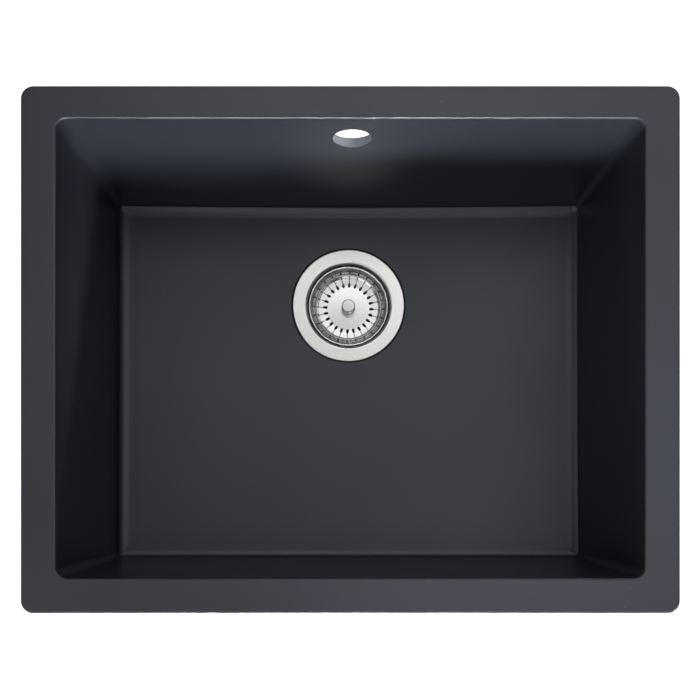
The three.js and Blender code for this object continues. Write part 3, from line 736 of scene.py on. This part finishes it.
cap_profile = [(0, 70.1), (12.9, 70.1), (12.9, 57.3), (13.2, 57.0), (15.7, 57.0), (16, 57.3), (16, 58.2), (16, 58.6), (16, 59.0)]
cap_profile += [(16, 59.0 + 11.6 * k / 6) for k in range(1, 7)] + [(16, 71.0), (16, 71.4)]
cap_profile += [(15.95, 71.9), (15.75, 72.3), (15.4, 72.6), (14.9, 72.8), (14.4, 72.8), (12.0, 72.8), (11.6, 72.5), (11.2, 72.4), (0, 72.4)]
v, f = along_y(lathe(cap_profile, 192, cap_shape), SPIGOT)
piece("overflow_cap_shell", v, f, "sink", ["overflow_cap"], "moulded_plastic", PLASTIC, sharp=42, weighted=True)
v, f = along_y(lathe(rounded([(0, 68.3), (12.2, 68.3, 0.4), (12.2, 69.8, 0.4), (0, 69.8)], closed=False), 72), SPIGOT)
piece("overflow_cap_washer_disc", v, f, "sink", ["overflow_cap_washer"], "rubber", RUBBER)

nut = holder("screw_insert_nut", mesh_from("screw_insert_nut", *in_waste(prism(circle(7.3, 6, math.pi / 6), -65.3, -54.8))))
cut(nut, "DIFFERENCE", *in_waste(lathe([(0, -70), (4.3, -70), (4.3, -50), (0, -50)], 48)))
finish_piece(nut, "sink", ["screw_insert"], "brass", BRASS, bevel=0.3)

screw_profile = (
    [(0, -63), (3.2, -63), (3.9, -62.3)] + [(3.9, -62.2 + 9.0 * k / 60) for k in range(61)]
    + rounded([(3.9, -53.1), (3.9, -53), (6.2, -53, 0.4), (6.2, -43.7, 0.4), (8.6, -43.7, 0.3), (8.6, -42.2, 0.4), (7.9, -41.5, 0.3), (4.6, -41.5, 0.3),
               (4.6, -51.4), (0, -51.4)], closed=False, steps=4, support=0.1)
)
v, f = in_waste(lathe(screw_profile, 72, thread(1.25, 0.62, -62.1, -53.3, 1.0)))
piece("clamp_screw_turned", v, f, "sink", ["clamp_screw"], "turned_steel", TURNED_STEEL)


# ------------------------------------------------------------------ the basket
BASKET_T = 0.8
# middle of the sheet: flat disc, shallow slotted dish, its steep side, crest, deep channel, and the rolled rim
basket_path = rounded([
    (2.5, -15.0), (22.9, -15.0, 6.0), (31.0, -14.8, 1.0), (32.5, -8.0, 0.7), (35.2, -12.4, 1.3), (38.7, -3.9, 0.6), (39.5, -3.6, 0.4), (40.2, -4.0, 0.5), (40.25, -8.6),
], closed=False, steps=7, support=0.2)


def resample(path, step):
    out = [path[0]]
    for a, b in zip(path[:-1], path[1:]):
        d = np.linalg.norm(b - a)
        k = max(1, int(math.ceil(d / step)))
        out += [a + (b - a) * i / k for i in range(1, k + 1)]
    return out


WIDE0, WIDE1, THIN1 = 21.2, 25.1, 32.0   # radii where a slot starts, narrows and ends
WIDE_W, THIN_W = 1.30, 0.34              # half widths
DOT0, DOT1, DOT_W = 34.3, 36.6, 0.62     # a second row of openings in the bottom of the channel


FLUTE = 0.22


def slot_half_width(r):
    if DOT0 < r < DOT1:
        d = (r - (DOT0 + DOT1) / 2) / ((DOT1 - DOT0) / 2)
        return max(0.05, DOT_W * math.sqrt(max(0.0, 1 - d * d)))
    if r <= WIDE0 or r >= THIN1:
        return None
    if r < WIDE0 + WIDE_W:
        d = WIDE0 + WIDE_W - r
        return max(0.06, math.sqrt(max(0.0, WIDE_W ** 2 - d * d)))
    if r < WIDE1:
        return WIDE_W
    if r < WIDE1 + 0.7:
        t = (r - WIDE1) / 0.7
        return WIDE_W + (THIN_W - WIDE_W) * (1 - math.cos(math.pi * t)) / 2
    if r > THIN1 - THIN_W:
        d = r - (THIN1 - THIN_W)
        return max(0.05, math.sqrt(max(0.0, THIN_W ** 2 - d * d)))
    return THIN_W


def near(r, *ends):
    return any(abs(r - e) < 0.02 for e in ends)


def basket_mesh():
    path = resample([np.array(p, float) for p in basket_path], 1.6)
    # extra rows where the slots' ends and shoulders turn
    wanted = [WIDE0, *[WIDE0 + WIDE_W * k for k in (0.04, 0.15, 0.32, 0.55, 0.8, 1.0)], WIDE1, *[WIDE1 + 0.7 * k / 5 for k in range(1, 6)],
              THIN1 - THIN_W, *[THIN1 - THIN_W * k for k in (0.7, 0.4, 0.2, 0.06, 0.0)],
              *[DOT0 + (DOT1 - DOT0) * k for k in (0.0, 0.02, 0.08, 0.18, 0.32, 0.5, 0.68, 0.82, 0.92, 0.98, 1.0)]]
    rows = list(path)
    for r in wanted:
        for i in range(len(rows) - 1):
            a, b = rows[i], rows[i + 1]
            if a[0] < r < b[0] and b[0] - a[0] > 1e-4:
                if min(r - a[0], b[0] - r) > 0.012:
                    rows.insert(i + 1, a + (b - a) * (r - a[0]) / (b[0] - a[0]))
                break
    cells = 8
    verts, faces = [], []
    widths = []
    for r, z in rows:
        w = slot_half_width(r)
        inside = w is not None
        if w is None:
            w = 0.06 if near(r, WIDE0) else 0.05 if near(r, THIN1, DOT0, DOT1) else WIDE_W * min(1.0, r / 20) if r < WIDE0 else THIN_W * 1.6
        widths.append(inside or near(r, WIDE0, THIN1, DOT0, DOT1))
        half = w / max(r, 1.0)
        pitch = TAU / SLOTS
        for s in range(SLOTS):
            mid = SLOT_TURN + s * pitch
            offsets = [-half, 0.0, half] + [half + (pitch - 2 * half) * k / 6 for k in range(1, 6)]
            for d in offsets:
                # the channel and the rim are fluted, one flute to a slot
                lobe = FLUTE * min(1.0, max(0.0, (r - 37.0) / 2.0)) * (0.5 + 0.5 * math.cos(SLOTS * d)) ** 1.5
                verts.append(((r - lobe) * math.cos(mid + d), (r - lobe) * math.sin(mid + d), z))
    n = SLOTS * cells
    for k in range(len(rows) - 1):
        mid = (rows[k][0] + rows[k + 1][0]) / 2
        open_row = widths[k] and widths[k + 1] and (WIDE0 < mid < THIN1 or DOT0 < mid < DOT1)
        for i in range(n):
            if open_row and i % cells in (0, 1):
                continue
            j = (i + 1) % n
            faces.append((k * n + i, k * n + j, (k + 1) * n + j, (k + 1) * n + i))
    return verts, faces


v, f = basket_mesh()
basket = holder("basket_sheet", mesh_from("basket_sheet", placed(v, at=WASTE), f))
s = basket.modifiers.new("sheet", "SOLIDIFY")
s.thickness, s.offset, s.use_even_offset, s.use_rim = BASKET_T * MM, 0.0, False, True
finish_piece(basket, "basket_assembly", ["basket"], "polished_steel", BASKET_STEEL, sharp=50)
b = basket.modifiers.new("edges", "BEVEL")
b.width, b.segments, b.limit_method, b.angle_limit, b.use_clamp_overlap = 0.10 * MM, 2, "ANGLE", math.radians(50), True
w = basket.modifiers.new("flat", "WEIGHTED_NORMAL")
w.keep_sharp, w.weight = False, 60

knob_profile = rounded([
    (0, -14.3), (6.9, -14.3, 0.25), (6.9, -13.8, 0.3), (6.3, -12.6, 1.4), (6.1, -8.0, 6.0), (6.7, -2.2, 0.6), (6.1, -1.45, 0.7), (0, -1.35),
], closed=False, steps=7, support=0.1)
v, f = in_waste(lathe(knob_profile, 96))
piece("basket_knob_turned", v, f, "basket_assembly", ["basket_knob"], "polished_steel", KNOB_STEEL)

stem_profile = rounded([
    (0, -49), (2.5, -49, 0.3), (3.4, -48.1, 0.3), (3.4, -45.9, 0.15), (2.9, -45.7, 0.3), (2.9, -44.3, 0.3), (3.4, -44.1, 0.15),
    (3.4, -30.8, 0.2), (5.6, -30.8, 0.4), (5.6, -16.1, 0.3), (2.1, -16.1, 0.1), (2.1, -14.7, 0.1), (0, -14.7),
], closed=False, steps=4, support=0.1)
v, f = in_waste(lathe(stem_profile, 72))
piece("basket_stem_turned", v, f, "basket_assembly", ["basket_stem"], "turned_steel", TURNED_STEEL)
v, f = in_waste(lathe([(3.62 + 0.62 * math.cos(TAU * k / 20), -45 + 0.62 * math.sin(TAU * k / 20)) for k in range(20)], 72))
piece("stem_o_ring_band", v, f, "basket_plug", ["stem_o_ring"], "rubber", RUBBER)
seal_profile = rounded([
    (3.8, -36, 0.3), (3.8, -31.1, 0.4), (9, -31.1, 2.0), (16, -33.6, 4.0), (24.4, -34.6, 0.5), (25.2, -36.0, 0.5), (23.5, -38.2, 0.35),
    (22.4, -38.2, 0.3), (20.8, -36, 1.2),
], steps=6, support=0.15)
v, f = in_waste(lathe(seal_profile, 128))
piece("basket_seal_disc", v, f, "basket_plug", ["basket_seal"], "rubber", RUBBER)
v, f = in_waste(lathe(rounded([(3.8, -37.3, 0.15), (10, -37.3, 0.2), (10, -36.3, 0.35), (3.8, -36.3, 0.15)], steps=3, support=0.1), 72))
piece("seal_washer_disc", v, f, "basket_assembly", ["seal_washer"], "turned_steel", TURNED_STEEL)


def hex_nut(r, z0, z1, bore, chamfer=0.7):
    o = holder("nut", mesh_from("nut", *prism(circle(r, 6), z0, z1)))
    flat = r * math.cos(math.pi / 6)
    cone = [(0, z0), (flat - 0.1, z0), (r + 0.2, z0 + chamfer), (r + 0.2, z1 - chamfer), (flat - 0.1, z1), (0, z1)]
    cut(o, "INTERSECT", *lathe(cone, 72))
    cut(o, "DIFFERENCE", *lathe([(0, z0 - 1), (bore + 0.5, z0 - 1), (bore + 0.5, z0), (bore, z0 + 0.5), (bore, z1 - 0.5), (bore + 0.5, z1), (bore + 0.5, z1 + 1), (0, z1 + 1)], 48))
    return o


stem_nut = hex_nut(6, -40.6, -37.6, 3.8)
stem_nut.name = "stem_nut_hex"
stem_nut.data.transform(Matrix.Translation(Vector(WASTE) * MM))
finish_piece(stem_nut, "basket_assembly", ["stem_nut"], "zinc_plate", ZINC, sharp=30, bevel=0.1)


# ------------------------------------------------------------------ fixing clips
def arm_object():
    w, back, tip = CLIP_HALF_W, -8.0, CLIP_REACH
    plan = [(w, back), (w, tip - w)]
    plan += [(w * math.cos(a), tip - w + w * math.sin(a)) for a in [math.pi * k / 32 for k in range(1, 32)]]
    plan += [(-w, tip - w), (-w, back + w)]
    plan += [(w * math.cos(a), back + w + w * math.sin(a)) for a in [math.pi + math.pi / 2 * k / 16 for k in range(1, 16)]]
    plan += [(0.0, back)]
    z0, t, j = -RIM_THICK - 0.3, CLIP_T, 3.0
    side = rounded([
        (-12, z0 - t), (13.2, z0 - t, 1.2), (18.2, z0 - j - t, 3.6), (tip + 2, z0 - j - t), (tip + 2, z0 - j), (19, z0 - j, 1.2), (14, z0, 3.6), (-12, z0),
    ], steps=8, support=0.2)
    n = len(side)
    verts = [(-12, a, b) for a, b in side] + [(12, a, b) for a, b in side]
    faces = [[*range(n)][::-1], [*range(n, 2 * n)]] + [[i, (i + 1) % n, n + (i + 1) % n, n + i] for i in range(n)]
    o = holder("arm", mesh_from("arm", verts, faces))
    cut(o, "INTERSECT", *prism(plan, -25, -5))
    slot = [(3 * math.cos(a), 40.5 + 3 * math.sin(a)) for a in [math.pi * k / 16 for k in range(17)]]
    slot += [(3 * math.cos(a), 28.5 + 3 * math.sin(a)) for a in [math.pi + math.pi * k / 16 for k in range(17)]]
    cut(o, "DIFFERENCE", *several(prism(circle(3.4, 48), -25, -5), prism(slot, -25, -5)))
    return o


def clip_screw_object():
    prof = (
        [(0, -3.6), (2.2, -3.6), (2.9, -4.3)] + [(2.9, -4.4 - 8.6 * k / 70) for k in range(71)]
        + [(2.9, -13.2), (2.9, -14.7), (5.9, -14.7), (5.9, -18.3), (5.15, -19), (4.0, -19.0), (3.8, -18.85), (0, -18.85)]
    )
    o = holder("clip_screw", mesh_from("clip_screw", *lathe(prof, 60, thread(1.0, 0.5, -12.9, -4.5, 0.8))))
    return o


arm = arm_object()
head_cut = several(prism(circle(5.9, 6), -30, 0))
screw = clip_screw_object()
cut(screw, "INTERSECT", *head_cut)
insert_verts, insert_faces = lathe(rounded([(3.1, -9.9, 0.1), (4.0, -9.9, 0.25), (4.0, -3.2, 0.25), (3.1, -3.2, 0.1)], steps=3, support=0.08), 48,
                                   lambda r, a, z: r - (0.12 * (0.5 + 0.5 * math.cos(a * 24)) if r > 3.9 else 0.0))
washer_verts, washer_faces = lathe(rounded([(3.3, -14.4, 0.15), (6.8, -14.4, 0.3), (6.8, -13.1, 0.15), (3.3, -13.1, 0.15)], steps=3, support=0.08), 64)
for name, (x, y, turn) in CLIPS.items():
    place = Matrix.Translation(Vector((x, y, 0)) * MM) @ Matrix.Rotation(turn, 4, "Z")
    a = holder("clip_arm_plate_" + name, arm.data.copy())
    a.data.transform(place)
    finish_piece(a, "clip_" + name, ["clip_arm_" + name], "zinc_plate", ZINC, sharp=30, bevel=0.25)
    s = holder("clip_screw_hex_" + name, screw.data.copy())
    s.data.transform(place)
    finish_piece(s, "sink", ["clip_screw_" + name], "zinc_plate", ZINC, sharp=30, weighted=True)
    piece("clip_washer_disc_" + name, placed(washer_verts, at=(x, y, 0), turn=turn), washer_faces, "sink", ["clip_washer_" + name], "zinc_plate", ZINC)
    piece("clip_insert_ring_" + name, placed(insert_verts, at=(x, y, 0), turn=turn), insert_faces, "sink", ["clip_insert_" + name], "brass", BRASS)
for o in (arm, screw):
    me = o.data
    bpy.data.objects.remove(o)
    bpy.data.meshes.remove(me)


# ------------------------------------------------------------------ camera, floor and light
camera_data = bpy.data.cameras.new("camera")
camera = bpy.data.objects.new("camera", camera_data)
scene.collection.objects.link(camera)
camera.location = (-0.0091, -0.1574, 0.913)
camera_data.sensor_width = 36.0
camera_data.lens = 56.35
camera_data.shift_x = 0.0151
camera_data.shift_y = 0.2691
camera_data.clip_start, camera_data.clip_end = 0.01, 50
scene.camera = camera

FLOOR_GLOW = 0.85
floor_nodes = Nodes("pale_floor")
floor_cloud = floor_nodes.noise(floor_nodes.coords(), 3.0, 2.0, 0.5)
floor_tone = floor_nodes.mix(floor_cloud, (0.86, 0.86, 0.86), (0.90, 0.90, 0.90))
floor_material = floor_nodes.shader(Base_Color=floor_tone, Roughness=0.7, Emission_Color=(1, 1, 1, 1), Emission_Strength=FLOOR_GLOW)
size = 3.0
floor_mesh = bpy.data.meshes.new("floor")
floor_mesh.from_pydata([(-size, -size, 0), (size, -size, 0), (size, size, 0), (-size, size, 0)], [], [(0, 1, 2, 3)])
floor = holder("floor", floor_mesh)
floor.location = (0, 0, -0.3)
floor_mesh.materials.append(floor_material)

world = bpy.data.worlds.new("studio")
scene.world = world
world.use_nodes = True
wt = world.node_tree
wt.nodes.clear()
WORLD_LIGHT = 0.0
background = wt.nodes.new("ShaderNodeBackground")
background.inputs["Color"].default_value = (1, 1, 1, 1)
background.inputs["Strength"].default_value = WORLD_LIGHT
seen = wt.nodes.new("ShaderNodeBackground")
seen.inputs["Color"].default_value = (1, 1, 1, 1)
seen.inputs["Strength"].default_value = 1.0
path = wt.nodes.new("ShaderNodeLightPath")
mix = wt.nodes.new("ShaderNodeMixShader")
out = wt.nodes.new("ShaderNodeOutputWorld")
wt.links.new(path.outputs["Is Camera Ray"], mix.inputs[0])
wt.links.new(background.outputs[0], mix.inputs[1])
wt.links.new(seen.outputs[0], mix.inputs[2])
wt.links.new(mix.outputs[0], out.inputs[0])

# Soft boxes round the bowl: (azimuth, elevation, distance, width, height, strength); azimuth 0 is behind
# the back wall, 90 to the right, 180 in front.
LIGHTS = {
    "top_00": (243.4, 57.5, 2.5, 0.8, 0.75, 0.25),
    "top_10": (213.7, 73.2, 2.5, 0.8, 0.75, 0.25),
    "top_20": (146.3, 73.2, 2.5, 0.8, 0.75, 2.0),
    "top_30": (116.6, 57.5, 2.5, 0.8, 0.75, 0.772),
    "top_01": (277.1, 61.1, 2.5, 0.8, 0.75, 0.25),
    "top_11": (290.6, 80.2, 2.5, 0.8, 0.75, 0.594),
    "top_21": (69.4, 80.2, 2.5, 0.8, 0.75, 0.98),
    "top_31": (82.9, 61.1, 2.5, 0.8, 0.75, 1.16),
    "top_02": (306.9, 53.1, 2.5, 0.8, 0.75, 0.25),
    "top_12": (336, 66.8, 2.5, 0.8, 0.75, 1.218),
    "top_22": (24, 66.8, 2.5, 0.8, 0.75, 1.487),
    "top_32": (53.1, 53.1, 2.5, 0.8, 0.75, 1.521),
    "high_0": (0, 50, 2.5, 1.25, 0.75, 2.35),
    "high_180": (180, 50, 2.5, 1.25, 0.75, 0.995),
    "high_225": (225, 50, 2.5, 1.25, 0.75, 1.797),
    "mid_180": (180, 32, 2.5, 1.65, 0.85, 1.69),
    "mid_225": (225, 32, 2.5, 1.65, 0.85, 1.08),
    "mid_270": (270, 32, 2.5, 1.65, 0.85, 1.344),
    "low_135": (135, 12, 2.5, 1.95, 0.8, 0.6),
    "low_180": (180, 12, 2.5, 1.95, 0.8, 0.6),
    "low_225": (225, 12, 2.5, 1.95, 0.8, 0.6),
    "low_45": (45, 12, 2.5, 1.95, 0.8, 0.344),
    "near_e": (30, 14, 0.7, 0.6, 0.2, 1.496),
}
for name, (azimuth, elevation, distance, width, height, strength) in LIGHTS.items():
    az, el = math.radians(azimuth), math.radians(elevation)
    toward = Vector((math.sin(az) * math.cos(el), math.cos(az) * math.cos(el), math.sin(el)))
    data = bpy.data.lights.new(name, "AREA")
    data.shape, data.size, data.size_y = "RECTANGLE", width, height
    data.energy = strength * width * height * math.pi
    o = bpy.data.objects.new(name, data)
    scene.collection.objects.link(o)
    o.location = toward * distance
    o.rotation_mode = "QUATERNION"
    o.rotation_quaternion = (-toward).to_track_quat("-Z", "Y")
    o.visible_camera = False

# Gridded strips in front of the bowl: their narrow beam clears the front rim and lights the upper part of
# the back wall: (x, y, z), tilt in degrees, heading, width, height, spread in degrees, strength
STRIPS = {
    "grid_l": ((-0.22, -0.62, 0.100), -9.2, 0, 0.44, 0.06, 15, 2.85),
    "grid_r": ((0.22, -0.62, 0.097), -8.2, 0, 0.44, 0.06, 15, 3.40),
    "grid_e": ((0.52, -0.56, 0.125), -12, -42, 0.40, 0.06, 14, 2.604),
}
for name, (spot, tilt, heading, width, height, spread, strength) in STRIPS.items():
    up, turn = math.radians(tilt), math.radians(heading)
    aim = Vector((math.sin(turn) * math.cos(up), math.cos(turn) * math.cos(up), math.sin(up)))
    data = bpy.data.lights.new(name, "AREA")
    data.shape, data.size, data.size_y = "RECTANGLE", width, height
    data.spread = math.radians(spread)
    data.energy = strength * width * height * math.pi
    o = bpy.data.objects.new(name, data)
    scene.collection.objects.link(o)
    o.location = spot
    o.rotation_mode = "QUATERNION"
    o.rotation_quaternion = aim.to_track_quat("-Z", "Y")
    o.visible_camera = False

scene.view_settings.view_transform = "Standard"
scene.view_settings.look = "None"
scene.view_settings.exposure = 0.0
scene.view_settings.gamma = 1.0
